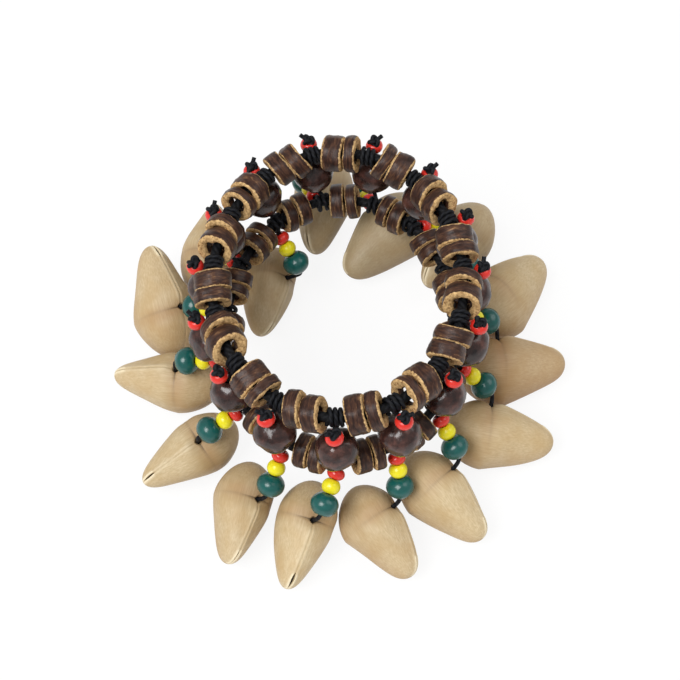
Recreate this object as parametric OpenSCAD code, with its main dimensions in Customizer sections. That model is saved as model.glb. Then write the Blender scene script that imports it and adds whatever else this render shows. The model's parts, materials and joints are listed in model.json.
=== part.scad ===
// Nutshell shaker bracelet, lying on a table.
// Two elastic loops carry pairs of coconut-shell discs. Between the pairs hang fifteen strands:
// a knot, a red bead, a round bead between the loops, then a red, a yellow and a green bead
// and a hollow nutshell that rattles against its neighbours.
// Origin on the table under the middle of the wrist opening, +Z up, front of the bracelet at -Y.

/* [Elastic loops] */
// Half the width of the upper loop, side to side
upper_half_width = 30.5; // [30:0.5:36]
// Half the depth of the upper loop, front to back
upper_half_depth = 37; // [36:0.5:44]
// How far the sides of the lower loop stand inside the upper loop
lower_in_sides = 1.5; // [0:0.5:4]
// How far the front and back of the lower loop stand inside the upper loop
lower_in_ends = 0; // [0:0.5:1]
// How far the lower loop sits forward of the upper one
lower_forward = 2; // [0:0.5:4]
// How far the lower loop sits to the right of the upper one
lower_aside = 1; // [0:0.5:3]
// Height of the lower loop above the table
lower_height = 26; // [24:0.25:28]
// Diameter of the elastic
elastic_d = 2.4; // [1.8:0.1:2.8]

/* [Coconut discs] */
// Outside diameter of a disc
disc_d = 9.6; // [8:0.1:10]
// Thickness of a disc on the upper loop
upper_disc_t = 4.2; // [3.2:0.1:4.3]
// Thickness of a disc on the lower loop
lower_disc_t = 3.6; // [2.8:0.1:3.8]
// Bore of a disc
disc_bore = 4.2; // [3.2:0.1:4.8]
// Gap between the two discs of a pair
pair_gap = 0.4; // [0.2:0.1:0.8]

/* [Beads] */
// Diameter of a round bead between the loops
round_d = 10.6; // [9:0.1:11]
// How far the round beads stand outside the loops
round_out = 3; // [2:0.1:4]
// Diameter of a red bead
red_d = 4.4; // [3.6:0.1:4.6]
// Length of a red bead
red_len = 2.8; // [2.4:0.1:3.4]
// Diameter of a yellow bead
yellow_d = 4.6; // [4:0.1:5.4]
// Length of a yellow bead
yellow_len = 3.6; // [3:0.1:4.4]
// Diameter of a green bead
green_d = 7; // [6:0.1:7.6]
// Length of a green bead
green_len = 5.4; // [4.8:0.1:6]
// Bore of every bead
bead_bore = 1.8; // [1.5:0.1:2.2]

/* [Strand cord] */
// Diameter of the strand cord
cord_d = 1.1; // [0.8:0.05:1.2]
// Diameter of a tied knot
knot_d = 2.8; // [2.6:0.1:3.8]
// Length of a cut tail past its knot
tail_len = 1.6; // [1.5:0.1:4]

/* [Nutshells] */
// Length of a middling shell, blunt end to tip
shell_len = 30; // [30:0.5:36]
// Depth from the seam to the back
shell_depth = 19.5; // [18:0.5:23]
// Share of the depth on the seam's side of the long axis
seam_share = 0.46; // [0.4:0.02:0.5]
// Share of the length from the blunt end to the hole
hole_share = 0.38; // [0.36:0.01:0.42]
// Thickness from flank to flank
shell_thick = 17; // [14:0.5:18]
// Thickness of the shell's wall
shell_wall = 1.2; // [0.8:0.1:1.6]
// Hole that the cord goes through
hole_d = 2.8; // [2.4:0.1:3.2]
// Depth of the furrow across the seam at the hole
furrow = 1.3; // [0.6:0.1:1.8]
// Height of the keel along the seam
keel = 0.6; // [0.2:0.1:1.2]
// Width of the open slit at the tip
slit_w = 0.9; // [0.6:0.1:1.4]
// Length of the open slit
slit_len = 7; // [4:0.5:10]

/* [Hidden] */
$fn = 48;

// One row for each strand, anticlockwise from the front: the way its bead chain points, the way
// its shell's tip points, the shell's roll from seam up, the dip of its tip, and its size.
// Angles are in degrees, anticlockwise from +X seen from above.
STRANDS = [
[247, 254, -22, 12, 0.92],
[281, 304, -52, 8, 0.88],
[306, 313, -46, 8, 0.93],
[344, 353, -52, 8, 0.95],
[16, 8, -54, 8, 0.98],
[40, 46, -56, 8, 1.02],
[40, 233, 20, 8, 0.94],
[108, 228, 60, 5, 1.0],
[112, 262, 30, 8, 0.98],
[312, 262, -52, 6, 0.86],
[126, 84, 15, -4, 0.90],
[152, 107, 28, -20, 1.02],
[172, 172, 0, 4, 0.94],
[206, 213, -12, 8, 0.92],
[246, 257, -40, 8, 0.88]
];
COUNT = len(STRANDS);
// The first strand stands this share of a pitch to the left of the front
PHASE = -0.05;

// Clearance between a loop of cord and the elastic that it turns on
run_clear = 0.1;
// Clearance between pieces that do not touch
clear = 0.3;
// Gap between beads on a cord
bead_gap = 0.1;
// How much a bend of a cord is thicker than the cord
bend_extra = 0.06;

cord_r = cord_d / 2;
elastic_r = elastic_d / 2;
loop_r = elastic_r + run_clear + cord_r;
function pair_len(thick) = 2 * thick + pair_gap + 2 * bead_gap;

// The strands tie the two loops together, so the lower one takes its size from the upper one
lower_half_width = upper_half_width - lower_in_sides;
lower_half_depth = upper_half_depth - lower_in_ends;

// Points on an oval, with the angle counted anticlockwise from the front
function on_oval(a, b, angle) = [a * sin(angle), -b * cos(angle)];

// Length along an oval against angle, in small steps
ARC_STEP = 2;
function arc_table(a, b) = [
    for (k = 0, s = 0; k * ARC_STEP <= 360;
         s = s + norm(on_oval(a, b, (k + 1) * ARC_STEP) - on_oval(a, b, k * ARC_STEP)), k = k + 1)
        [s, k * ARC_STEP]
];
upper_arc = arc_table(upper_half_width, upper_half_depth);
lower_arc = arc_table(lower_half_width, lower_half_depth);
function turn_length(table) = table[len(table) - 1][0];
function wrapped(s, whole) = s - whole * floor(s / whole);
function at_length(table, a, b, s) =
    on_oval(a, b, lookup(wrapped(s, turn_length(table)), table));

upper_pitch = turn_length(upper_arc) / COUNT;
lower_pitch = turn_length(lower_arc) / COUNT;
upper_gap = upper_pitch - pair_len(upper_disc_t);
lower_gap = lower_pitch - pair_len(lower_disc_t);

// Distance along a strand from a loop to the round bead's middle, so that bead and discs stay clear.
// Two clearances, because the discs on either side lean in round the loop.
function bead_reach(gap) =
    let (bite = sqrt(max(0, pow(round_d / 2, 2) - pow(gap / 2, 2))))
    sqrt(pow(disc_d / 2 + bite + 2 * clear, 2) - pow(round_out, 2));
upper_reach = bead_reach(upper_gap);
lower_reach = bead_reach(lower_gap);
upper_height = lower_height + upper_reach + lower_reach;

// The end of the straight stretch of a loop before or after strand k
function upper_corner(k, side) = let (p = at_length(upper_arc, upper_half_width, upper_half_depth,
    (k + PHASE) * upper_pitch + side * upper_gap / 2)) [p[0], p[1], upper_height];
function lower_corner(k, side) = let (p = at_length(lower_arc, lower_half_width, lower_half_depth,
    (k + PHASE) * lower_pitch + side * lower_gap / 2))
    [p[0] + lower_aside, p[1] - lower_forward, lower_height];

function unit(v) = v / norm(v);
function upper_mid(k) = (upper_corner(k, -1) + upper_corner(k, 1)) / 2;
function lower_mid(k) = (lower_corner(k, -1) + lower_corner(k, 1)) / 2;
function upper_along(k) = unit(upper_corner(k, 1) - upper_corner(k, -1));
function lower_along(k) = unit(lower_corner(k, 1) - lower_corner(k, -1));
function strand_up(k) = unit(upper_mid(k) - lower_mid(k));
function strand_out(k) = unit(cross(lower_along(k), strand_up(k)));
function round_middle(k) = let (share = lower_reach / (lower_reach + upper_reach))
    lower_mid(k) * (1 - share) + upper_mid(k) * share + strand_out(k) * round_out;

// The cord leaves the round bead this far from its middle
mouth = round_d / 2 + cord_r;
function upper_mouth(k) = round_middle(k) + strand_up(k) * mouth;
// Where the top bead and the end knot sit: the bead rests on the cord just above the round bead
top_out = elastic_r + cord_d + red_d / 2 + clear;
top_rise = mouth - upper_reach + cord_d + bead_gap + red_len / 2;
function top_middle(k) = upper_mid(k) + strand_out(k) * top_out + strand_up(k) * top_rise;
function end_knot(k) = top_middle(k) + strand_up(k) * (red_len + knot_d) / 2;

// A nutshell in its own frame: X from blunt end to tip, Z from back to seam, origin at the hole.
// Its outline is a rounded rhombus with its corner at the furrow.
seam_side = shell_depth * seam_share;
back_side = shell_depth - seam_side;
// Where the rings stand, as shares of the way from the blunt end to the hole and on to the tip
BLUNT_RINGS = [0.06, 0.24, 0.48, 0.7, 0.87];
TIP_RINGS = [0.08, 0.24, 0.45, 0.66, 0.84, 0.97];
RING_AT = concat([for (s = BLUNT_RINGS) s * hole_share], [hole_share],
    [for (s = TIP_RINGS) hole_share + s * (1 - hole_share)]);
OUTER_SIDES = 16;
INNER_SIDES = 10;
// Powers that round the outline: towards the blunt end, towards the tip, and at the tip
DEEP_FORM = [1.7, 1.3, 0.5];
WIDE_FORM = [2, 1.4, 0.65];
// No ring shrinks to less than this half size
least_half = 0.15;
function outline(at, form) = at < hole_share
    ? sqrt(1 - pow((hole_share - at) / hole_share, form[0]))
    : pow(1 - pow((at - hole_share) / (1 - hole_share), form[1]), form[2]);
function shell_point(at, angle, size, inset) =
    let (deep = outline(at, DEEP_FORM))
    let (wide = outline(at, WIDE_FORM))
    let (ridge = angle == 90 && at > hole_share ? keel * deep : 0)
    let (dent = at == hole_share ? furrow * sqrt(max(0, sin(angle))) : 0)
    let (half_deep = (sin(angle) > 0 ? seam_side : back_side) * size * deep - dent + ridge - inset)
    let (half_wide = (shell_thick * size * wide - dent) / 2 - inset)
    [
        (at - hole_share) * (shell_len * size - 2 * inset),
        max(least_half, half_wide) * cos(angle),
        max(least_half, half_deep) * sin(angle) - seam_side * size + furrow
    ];
function shell_rings(size, inset, sides) = [
    for (at = RING_AT) [for (j = [0 : sides - 1]) shell_point(at, 360 * j / sides, size, inset)]
];
function flat(lists) = [for (list = lists) for (item = list) item];

// A closed skin over a run of rings, with a point at each end
module skin(rings, ends) {
    sides = len(rings[0]);
    last = len(rings) - 1;
    blunt = (last + 1) * sides;
    tip = blunt + 1;
    between = [
        for (i = [0 : last - 1], j = [0 : sides - 1])
            let (a = i * sides + j, b = i * sides + (j + 1) % sides)
            each [[a, a + sides, b + sides], [a, b + sides, b]]
    ];
    caps = [
        for (j = [0 : sides - 1])
            each [[blunt, j, (j + 1) % sides], [tip, last * sides + (j + 1) % sides, last * sides + j]]
    ];
    polyhedron(points = concat(flat(rings), ends), faces = concat(between, caps));
}

module nutshell_skin(size, inset, sides) {
    length = shell_len * size - 2 * inset;
    middle = furrow - seam_side * size;
    skin(shell_rings(size, inset, sides),
        [[-hole_share * length, 0, middle], [(1 - hole_share) * length, 0, middle]]);
}

module nutshell(size) {
    tip_x = (1 - hole_share) * shell_len * size;
    difference() {
        nutshell_skin(size, 0, OUTER_SIDES);
        nutshell_skin(size, shell_wall, INNER_SIDES);
        cylinder(d = hole_d, h = 4 * shell_wall + furrow, center = true);
        translate([tip_x - slit_len, -slit_w / 2, furrow - seam_side * size])
            cube([slit_len + 1, slit_w, seam_side]);
    }
}

// Turning a point as rotate([roll, dip, heading]) does
function rolled(p, a) = [p[0], p[1] * cos(a) - p[2] * sin(a), p[1] * sin(a) + p[2] * cos(a)];
function dipped(p, a) = [p[0] * cos(a) + p[2] * sin(a), p[1], p[2] * cos(a) - p[0] * sin(a)];
function headed(p, a) = [p[0] * cos(a) - p[1] * sin(a), p[0] * sin(a) + p[1] * cos(a), p[2]];
function turned(p, row) = headed(dipped(rolled(p, row[2]), row[3]), row[1]);

// Height of the hole above the lowest point of a shell that lies on the table
function hole_height(row) =
    -min([for (p = flat(shell_rings(row[4], 0, OUTER_SIDES))) dipped(rolled(p, row[2]), row[3])[2]]);

// The bead chain: from the cord's loop on the lower elastic, through three beads, to its bend
// over the hole
red_at = cord_r + bead_gap + red_len / 2;
yellow_at = red_at + red_len / 2 + bead_gap + yellow_len / 2;
green_at = yellow_at + yellow_len / 2 + bead_gap + green_len / 2;
chain_len = green_at + green_len / 2 + cord_d;
// The green bead stays this far off the lips of the furrow
seat = furrow + green_d / 2 + clear;

function chain_way(k, slope) = let (az = STRANDS[k][0])
    [cos(az) * cos(slope), sin(az) * cos(slope), -sin(slope)];
function loop_side(k, way) = let (along = lower_along(k)) unit(way - along * (way * along));
function chain_start(k, slope) = lower_mid(k) + loop_r * loop_side(k, chain_way(k, slope));
function hole_way(k) = turned([0, 0, 1], STRANDS[k]);
// The fixed cord turns on the lower elastic on the side that the chain leans away from
function cord_side(k) = chain_way(k, 0) * lower_along(k) > 0 ? -1 : 1;
// Length of cord between its bend and the hole
function cord_drop(k, slope) =
    max(cord_d, seat + (chain_len - green_at) * (chain_way(k, slope) * hole_way(k)));
// The slope at which the shell just lies on the table, found by repeated correction from a middling
// slope. A chain too short to reach the table hangs straight down.
FIRST_SLOPE = 35;
SLOPE_STEPS = 12;
function chain_fall(k, slope) =
    chain_start(k, slope)[2] - cord_drop(k, slope) * hole_way(k)[2] - hole_height(STRANDS[k]);
function slope_step(k, slope, steps) = steps == 0 ? slope
    : slope_step(k, asin(max(-1, min(1, chain_fall(k, slope) / chain_len))), steps - 1);
SLOPES = [for (k = [0 : COUNT - 1]) slope_step(k, FIRST_SLOPE, SLOPE_STEPS)];
function chain_point(k, at) = chain_start(k, SLOPES[k]) + at * chain_way(k, SLOPES[k]);
function hole_at(k) = chain_point(k, chain_len) - cord_drop(k, SLOPES[k]) * hole_way(k);
// The cord's turn on the elastic in degrees, and the stopper knot's form along the cord as shares of
// its half diameter
TURN_FROM = -300;
TURN_STEP = 30;
KNOT_FORM = [[1, 0.4], [0.6, 0.8], [0, 1], [-0.6, 0.8], [-1, 0.4]];
function stop_knot(k) = hole_at(k) - hole_way(k) * (shell_wall + knot_d / 2 + clear);

// Lays the Z axis along a direction
module aim(way) {
    rotate([0, acos(way[2] / norm(way)), atan2(way[1], way[0])]) children();
}

module rod(from, to, d) {
    translate(from) aim(to - from) cylinder(d = d, h = norm(to - from));
}

// Cord through a run of points, with its bends rounded over
module cord_run(points) {
    for (i = [1 : len(points) - 1]) rod(points[i - 1], points[i], cord_d);
    for (i = [1 : len(points) - 2]) translate(points[i]) sphere(d = cord_d + bend_extra);
}

module cord_loop(middle, along) {
    translate(middle) aim(along) rotate_extrude() translate([loop_r, 0]) circle(d = cord_d);
}

module threaded_bead(middle, way, d, len) {
    translate(middle) aim(way) difference() {
        intersection() {
            sphere(d = d);
            cylinder(d = d + 1, h = len, center = true);
        }
        cylinder(d = bead_bore, h = d + 1, center = true);
    }
}

// A closed tube round a level loop: straight between the corners and mitred at each
module elastic(corners) {
    count = len(corners);
    rings = [
        for (i = [0 : count - 1])
            let (here = corners[i])
            let (before = unit(here - corners[(i + count - 1) % count]))
            let (after = unit(corners[(i + 1) % count] - here))
            let (out = cross([0, 0, 1], unit(before + after)))
            [for (j = [0 : OUTER_SIDES - 1]) let (turn = 360 * j / OUTER_SIDES)
                here + elastic_r * (cos(turn) * out + sin(turn) * [0, 0, 1])]
    ];
    total = count * OUTER_SIDES;
    polyhedron(points = flat(rings), faces = [
        for (i = [0 : count - 1], j = [0 : OUTER_SIDES - 1])
            let (a = i * OUTER_SIDES + j)
            let (b = i * OUTER_SIDES + (j + 1) % OUTER_SIDES)
            let (c = (a + OUTER_SIDES) % total)
            let (d = (b + OUTER_SIDES) % total)
            each [[a, c, d], [a, d, b]]
    ]);
}

// A closed tube along [place, radius] pairs, with a frame carried along it without twist
function run_way(path, i) =
    unit(path[min(i + 1, len(path) - 1)][0] - path[max(i - 1, 0)][0]);
function square_to(way, v) = unit(v - way * (way * v));
function carried(path, i, side) = i == len(path) ? []
    : let (now = square_to(run_way(path, i), side)) concat([now], carried(path, i + 1, now));

module tube(path) {
    first = run_way(path, 0);
    sides = carried(path, 0, abs(first[2]) < 0.9 ? [0, 0, 1] : [1, 0, 0]);
    rings = [
        for (i = [0 : len(path) - 1])
            let (other = cross(run_way(path, i), sides[i]))
            [for (j = [0 : INNER_SIDES - 1]) let (turn = 360 * j / INNER_SIDES)
                path[i][0] + path[i][1] * (cos(turn) * sides[i] + sin(turn) * other)]
    ];
    skin(rings, [path[0][0], path[len(path) - 1][0]]);
}

module disc_pair(from, to, thick) {
    middle = (from + to) / 2;
    way = unit(to - from);
    for (side = [-1, 1]) {
        translate(middle + way * side * (thick + pair_gap) / 2) aim(way) difference() {
            cylinder(d = disc_d, h = thick, center = true);
            cylinder(d = disc_bore, h = thick + 1, center = true);
        }
    }
}

module upper_elastic() {
    color("#15171C") elastic([for (k = [0 : COUNT - 1], side = [-1, 1]) upper_corner(k, side)]);
}

module lower_elastic() {
    color("#15171C") elastic([for (k = [0 : COUNT - 1], side = [-1, 1]) lower_corner(k, side)]);
}

module upper_discs() {
    color("#4A3328") for (k = [0 : COUNT - 1])
        disc_pair(upper_corner(k, 1), upper_corner(k + 1, -1), upper_disc_t);
}

module lower_discs() {
    color("#4A3328") for (k = [0 : COUNT - 1])
        disc_pair(lower_corner(k, 1), lower_corner(k + 1, -1), lower_disc_t);
}

module round_beads() {
    color("#4A3636") for (k = [0 : COUNT - 1])
        threaded_bead(round_middle(k), strand_up(k), round_d, round_d);
}

module top_beads() {
    color("#D8302A") for (k = [0 : COUNT - 1])
        threaded_bead(top_middle(k), strand_up(k), red_d, red_len);
}

// A strand's fixed cord: end knot with a cut tail, top bead, loop on the upper elastic,
// round bead, and a loop on the lower elastic beside the chain's own loop
module strand_cord(k) {
    up = strand_up(k);
    out = strand_out(k);
    knot = end_knot(k);
    low_side = lower_mid(k) + lower_along(k) * cord_side(k) * (cord_d + 2 * clear);
    cord_run([
        knot,
        top_middle(k) - up * (red_len / 2 + cord_r + bead_gap),
        upper_mouth(k),
        round_middle(k) - up * mouth,
        low_side + up * loop_r
    ]);
    rod(upper_mid(k) + loop_r * square_to(upper_along(k), upper_mouth(k) - upper_mid(k)),
        upper_mouth(k), cord_d);
    cord_loop(upper_mid(k), upper_along(k));
    cord_loop(low_side, lower_along(k));
    translate(knot) sphere(d = knot_d);
    rod(knot, knot - unit(upper_along(k) + out - up) * (knot_d / 2 + tail_len), cord_d);
}

module strand_cords() {
    color("#15171C") for (k = [0 : COUNT - 1]) strand_cord(k);
}

// A strand's swinging cord: most of a turn round the lower elastic, the run through the three
// beads, the bend over the hole, and the stopper knot inside the shell, as [place, radius] pairs
function drop_path(k) =
    let (way = chain_way(k, SLOPES[k]))
    let (side = loop_side(k, way))
    let (other = cross(lower_along(k), side))
    let (bend = chain_point(k, chain_len))
    let (hole = hole_at(k))
    let (cut = min(cord_d, norm(bend - hole) / 2))
    let (knot = stop_knot(k))
    concat(
        [for (a = [TURN_FROM : TURN_STEP : 0])
            [lower_mid(k) + loop_r * (cos(a) * side + sin(a) * other), cord_r]],
        [[bend - way * cut, cord_r], [bend + unit(hole - bend) * cut, cord_r], [hole, cord_r]],
        [for (bulge = KNOT_FORM) [knot + hole_way(k) * bulge[0] * knot_d / 2, bulge[1] * knot_d / 2]]
    );

module drop_cord(k) {
    color("#15171C") tube(drop_path(k));
}

module drop_beads(k) {
    way = chain_way(k, SLOPES[k]);
    color("#D8302A") threaded_bead(chain_point(k, red_at), way, red_d, red_len);
    color("#E8E21A") threaded_bead(chain_point(k, yellow_at), way, yellow_d, yellow_len);
    color("#1F6B5E") threaded_bead(chain_point(k, green_at), way, green_d, green_len);
}

module shell(k) {
    row = STRANDS[k];
    color("#D9C29A") translate(hole_at(k)) rotate([row[2], row[3], row[1]]) nutshell(row[4]);
}

function numbered(name, k) = str(name, "_", k < 9 ? "0" : "", k + 1);

upper_elastic();
lower_elastic();
upper_discs();
lower_discs();
round_beads();
top_beads();
strand_cords();
for (k = [0 : COUNT - 1]) drop_cord(k);
for (k = [0 : COUNT - 1]) drop_beads(k);
for (k = [0 : COUNT - 1]) shell(k);
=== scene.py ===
# %% [markdown]
# # A nutshell shaker bracelet
#
# Two elastic loops carry pairs of discs cut from coconut shell. Between the pairs hang short
# strands of cord: a knot, a red bead, a dark round bead, then a red, a yellow and a green bead,
# and at the end a hollow nutshell that rattles against its neighbours.
#
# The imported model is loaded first. It says where every piece is and which pieces move together.

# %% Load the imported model
import json
import math

import bmesh
import bpy
import numpy as np
from mathutils import Matrix, Vector


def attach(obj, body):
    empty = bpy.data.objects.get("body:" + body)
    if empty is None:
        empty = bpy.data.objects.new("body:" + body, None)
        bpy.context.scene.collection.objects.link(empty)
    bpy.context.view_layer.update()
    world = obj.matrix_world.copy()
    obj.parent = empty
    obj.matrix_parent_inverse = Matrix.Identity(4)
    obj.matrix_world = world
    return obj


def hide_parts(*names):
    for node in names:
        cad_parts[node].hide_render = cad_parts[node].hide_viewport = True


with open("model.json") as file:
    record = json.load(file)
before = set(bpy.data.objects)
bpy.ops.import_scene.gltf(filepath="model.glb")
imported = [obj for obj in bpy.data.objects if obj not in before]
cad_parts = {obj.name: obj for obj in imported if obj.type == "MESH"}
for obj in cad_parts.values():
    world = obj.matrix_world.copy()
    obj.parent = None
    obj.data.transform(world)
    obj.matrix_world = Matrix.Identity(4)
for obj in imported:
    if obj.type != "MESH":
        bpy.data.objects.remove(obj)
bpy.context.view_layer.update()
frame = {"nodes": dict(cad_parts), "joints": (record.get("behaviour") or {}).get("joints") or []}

MM = 0.001
COUNT = 15
UP = Vector((0, 0, 1))
JOINTS = {joint["name"]: joint for joint in frame["joints"]}
print("CAD nodes:", len(frame["nodes"]), "joints:", len(JOINTS))

# %% [markdown]
# ## The camera
#
# The photograph looks down on the front of the bracelet, about two thirds of the way to the
# vertical, through a longish lens. The camera comes first, so that every later piece can be
# looked at from the right place. It could be moved by hand until the picture fits. Here it is
# worked out from an angle, a distance and one pixel, so each of them can be changed alone.

# %% Camera
LOOK_DOWN = 62
DISTANCE = 380 * MM
TARGET = Vector((0, 0, 41 * MM))
PIXELS_PER_MM = 4.1
PICTURE = 680
TARGET_PIXEL = (338, 287)
SENSOR = 36

focal_pixels = PIXELS_PER_MM * DISTANCE / MM
tilt = math.radians(LOOK_DOWN)
backwards = Vector((0, -math.cos(tilt), math.sin(tilt)))
upwards = Vector((0, math.sin(tilt), math.cos(tilt)))
aside = (TARGET_PIXEL[0] - PICTURE / 2) / focal_pixels
above = (PICTURE / 2 - TARGET_PIXEL[1]) / focal_pixels

camera_data = bpy.data.cameras.new("camera")
camera_data.sensor_width = SENSOR
camera_data.lens = focal_pixels * SENSOR / PICTURE
camera_data.clip_start = 10 * MM
camera = bpy.data.objects.new("camera", camera_data)
camera.location = TARGET + DISTANCE * (backwards - aside * Vector((1, 0, 0)) - above * upwards)
camera.rotation_euler = (math.pi / 2 - tilt, 0, 0)
bpy.context.scene.collection.objects.link(camera)
bpy.context.scene.camera = camera
print("camera lens:", round(camera_data.lens, 1), "mm")

# %% [markdown]
# ## Where the pieces are
#
# The places of discs, beads and cords could be typed in, but they would be wrong as soon as a
# size of the model changed, so they are read from it. Each CAD node is split into its separate
# solids, and the middle of a solid's box is the middle of its disc or bead, because both are the
# same seen from either end. The ends of the disc pairs give the corners of the elastic loops, and
# the gaps between the pairs are where the strands hang.

# %% Read places from the CAD nodes
UPPER_PAIR, LOWER_PAIR = 9.0 * MM, 7.8 * MM


def solids(node):
    """The vertices of each separate solid of a CAD node."""
    bm = bmesh.new()
    bm.from_mesh(frame["nodes"][node].data)
    bmesh.ops.remove_doubles(bm, verts=bm.verts, dist=0.001 * MM)
    found, seen = [], set()
    for first in bm.verts:
        if first in seen:
            continue
        seen.add(first)
        waiting, group = [first], []
        while waiting:
            vert = waiting.pop()
            group.append(tuple(vert.co))
            for edge in vert.link_edges:
                other = edge.other_vert(vert)
                if other not in seen:
                    seen.add(other)
                    waiting.append(other)
        found.append(np.array(group))
    bm.free()
    return found


def middles(node):
    return [Vector((points.min(0) + points.max(0)) / 2) for points in solids(node)]


def nearest(places, point):
    return min(places, key=lambda place: (place - point).length)


def disc_pairs(node):
    """The disc middles of a loop, two by two, anticlockwise seen from above."""
    discs = sorted(middles(node), key=lambda place: math.atan2(place.y, place.x))
    if (discs[1] - discs[0]).length > (discs[2] - discs[1]).length:
        discs = discs[1:] + discs[:1]
    return list(zip(discs[0::2], discs[1::2]))


def loop_corners(pairs, length):
    """The corners of an elastic loop: the two ends of each pair of discs."""
    corners = []
    for first, second in pairs:
        way = (second - first).normalized()
        centre = (first + second) / 2
        corners += [centre - way * length / 2, centre + way * length / 2]
    return corners


def gaps(corners):
    """The stretches of elastic between the pairs, as (start, end)."""
    return list(zip(corners[1::2], corners[2::2] + corners[:1]))


upper_pairs = disc_pairs("upper_discs")
lower_pairs = disc_pairs("lower_discs")
upper_corners = loop_corners(upper_pairs, UPPER_PAIR)
lower_corners = loop_corners(lower_pairs, LOWER_PAIR)
print("disc pairs:", len(upper_pairs), "above,", len(lower_pairs), "below")

# %% Gather one strand's places
ROUND_BEADS = middles("round_beads")
TOP_BEADS = middles("top_beads")


def gap_near(corners, point):
    def level_distance(gap):
        return ((gap[0] + gap[1]) / 2 - point).to_2d().length
    return min(gaps(corners), key=level_distance)


class Strand:
    """The places along strand number k, from its top knot to the hole in its shell."""

    def __init__(self, number):
        self.tag = f"{number:02d}"
        self.low = Vector(JOINTS["swing_" + self.tag]["pos_m"])
        self.hole = Vector(JOINTS["rock_" + self.tag]["pos_m"])
        start, end = gap_near(upper_corners, self.low)
        self.high = (start + end) / 2
        self.high_along = (end - start).normalized()
        start, end = gap_near(lower_corners, self.low)
        self.low_along = (end - start).normalized()
        self.up = (self.high - self.low).normalized()
        self.out = self.low_along.cross(self.up).normalized()
        self.round = nearest(ROUND_BEADS, (self.high + self.low) / 2)
        self.top = nearest(TOP_BEADS, self.high)
        beads = sorted(middles("drop_beads_" + self.tag), key=lambda place: (place - self.low).length)
        self.red, self.yellow, self.green = beads
        self.way = (self.green - self.red).normalized()


strands = [Strand(number) for number in range(1, COUNT + 1)]
chain = (strands[0].green - strands[0].low).length / MM
print("strands:", len(strands), "elastic to green bead:", round(chain, 1), "mm")

# %% [markdown]
# ## Small helpers
#
# One function makes a mesh object from lists, and one adds a node to any node tree, with its
# settings, its colour stops and its links. Colours are written as they look on a screen and
# turned into the linear values that the renderer works with.

# %% Helper for meshes


def mesh_piece(name, verts, faces, uvs=None, attributes=None):
    """A smooth mesh object. attributes holds (name, kind, values), with one value for each vertex."""
    mesh = bpy.data.meshes.new(name)
    mesh.from_pydata([tuple(v) for v in verts], [], faces)
    if uvs is not None:
        mesh.uv_layers.new(name="run").data.foreach_set("uv", np.array(uvs, np.float32).ravel())
    for label, kind, values in attributes or []:
        layer = mesh.attributes.new(label, kind, "POINT")
        key = "vector" if kind == "FLOAT_VECTOR" else "value"
        layer.data.foreach_set(key, np.array(values, np.float32).ravel())
    bm = bmesh.new()
    bm.from_mesh(mesh)
    bmesh.ops.recalc_face_normals(bm, faces=bm.faces)
    bm.to_mesh(mesh)
    bm.free()
    mesh.shade_smooth()
    piece = bpy.data.objects.new(name, mesh)
    bpy.context.scene.collection.objects.link(piece)
    return piece


# %% Helpers for nodes and colours


def linear(code):
    """A colour written as sRGB hex, as linear RGBA."""
    parts = [int(code[i:i + 2], 16) / 255 for i in (1, 3, 5)]
    return tuple(c / 12.92 if c <= 0.04045 else ((c + 0.055) / 1.055) ** 2.4 for c in parts) + (1,)


def connect(tree, node, links):
    """Gives each named input of a node a link from a socket, or a plain value."""
    for key, value in links.items():
        if isinstance(value, bpy.types.NodeSocket):
            tree.links.new(value, node.inputs[key])
        else:
            node.inputs[key].default_value = value


def add(tree, kind, links=None, stops=None, **settings):
    """Adds a node with its settings, its colour stops as (position, colour), and its links."""
    node = tree.nodes.new(kind)
    for label, value in settings.items():
        setattr(node, label, value)
    if stops:
        elements = node.color_ramp.elements
        for element, (position, colour) in zip(elements, (stops[0], stops[-1])):
            element.position = position
            element.color = linear(colour)
        for position, colour in stops[1:-1]:
            elements.new(position).color = linear(colour)
    connect(tree, node, links or {})
    return node


def new_material(name):
    material = bpy.data.materials.new(name)
    material.use_nodes = True
    tree = material.node_tree
    return material, tree, tree.nodes["Principled BSDF"]


def per_mm(size):
    """The scale of a texture whose features are about this many millimetres across."""
    return 1 / (size * MM)


print("screen grey 128 in linear light:", round(linear("#808080")[0], 3))

# %% [markdown]
# ## Finishes
#
# Six finishes cover the bracelet: dry nutshell, coconut shell with a polished skin and raw cut
# faces, the dark polished palm nuts used as round beads, gloss paint on small wooden beads,
# waxed cord and woven elastic. They could be painted as pictures. A small node tree for each has
# no seams, and its patterns are given in millimetres, as on the real surface.

# %% [markdown]
# ### Dry nutshell
#
# A sun-dried nut, satin and pale, with fine fibres that run from the blunt end to the tip. A
# pattern on the whole model's coordinates would cut straight across shells that lie in all
# directions. So each shell's own coordinates in millimetres are stored on its mesh, and the fibres
# follow them. Painted shade in the creases, the hole and the gap of the slit, pale lips, and a
# brown that holds painted shade at the furrow are weights on the mesh, because the shape knows
# where they are.

# %% Nutshell finish
# It gives the eye a soft, streaky sheen along the shell. The fibres are drawn a little coarser
# than real ones, which would be too fine to show.
FIBRE_WIDTH = 0.35
FIBRE_LENGTH = 6.0
BLOTCH = 6.0
# weights painted on the shells, and the colour that each one brings: the crease weight is painted shade,
# and the brown weight holds painted shade at the furrow
WEATHER_AND_SHADE = (("brown", "#9A6C3F"), ("grey", "#7C705C"), ("pale", "#E6D8B8"), ("crease", "#2B2018"))


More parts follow.
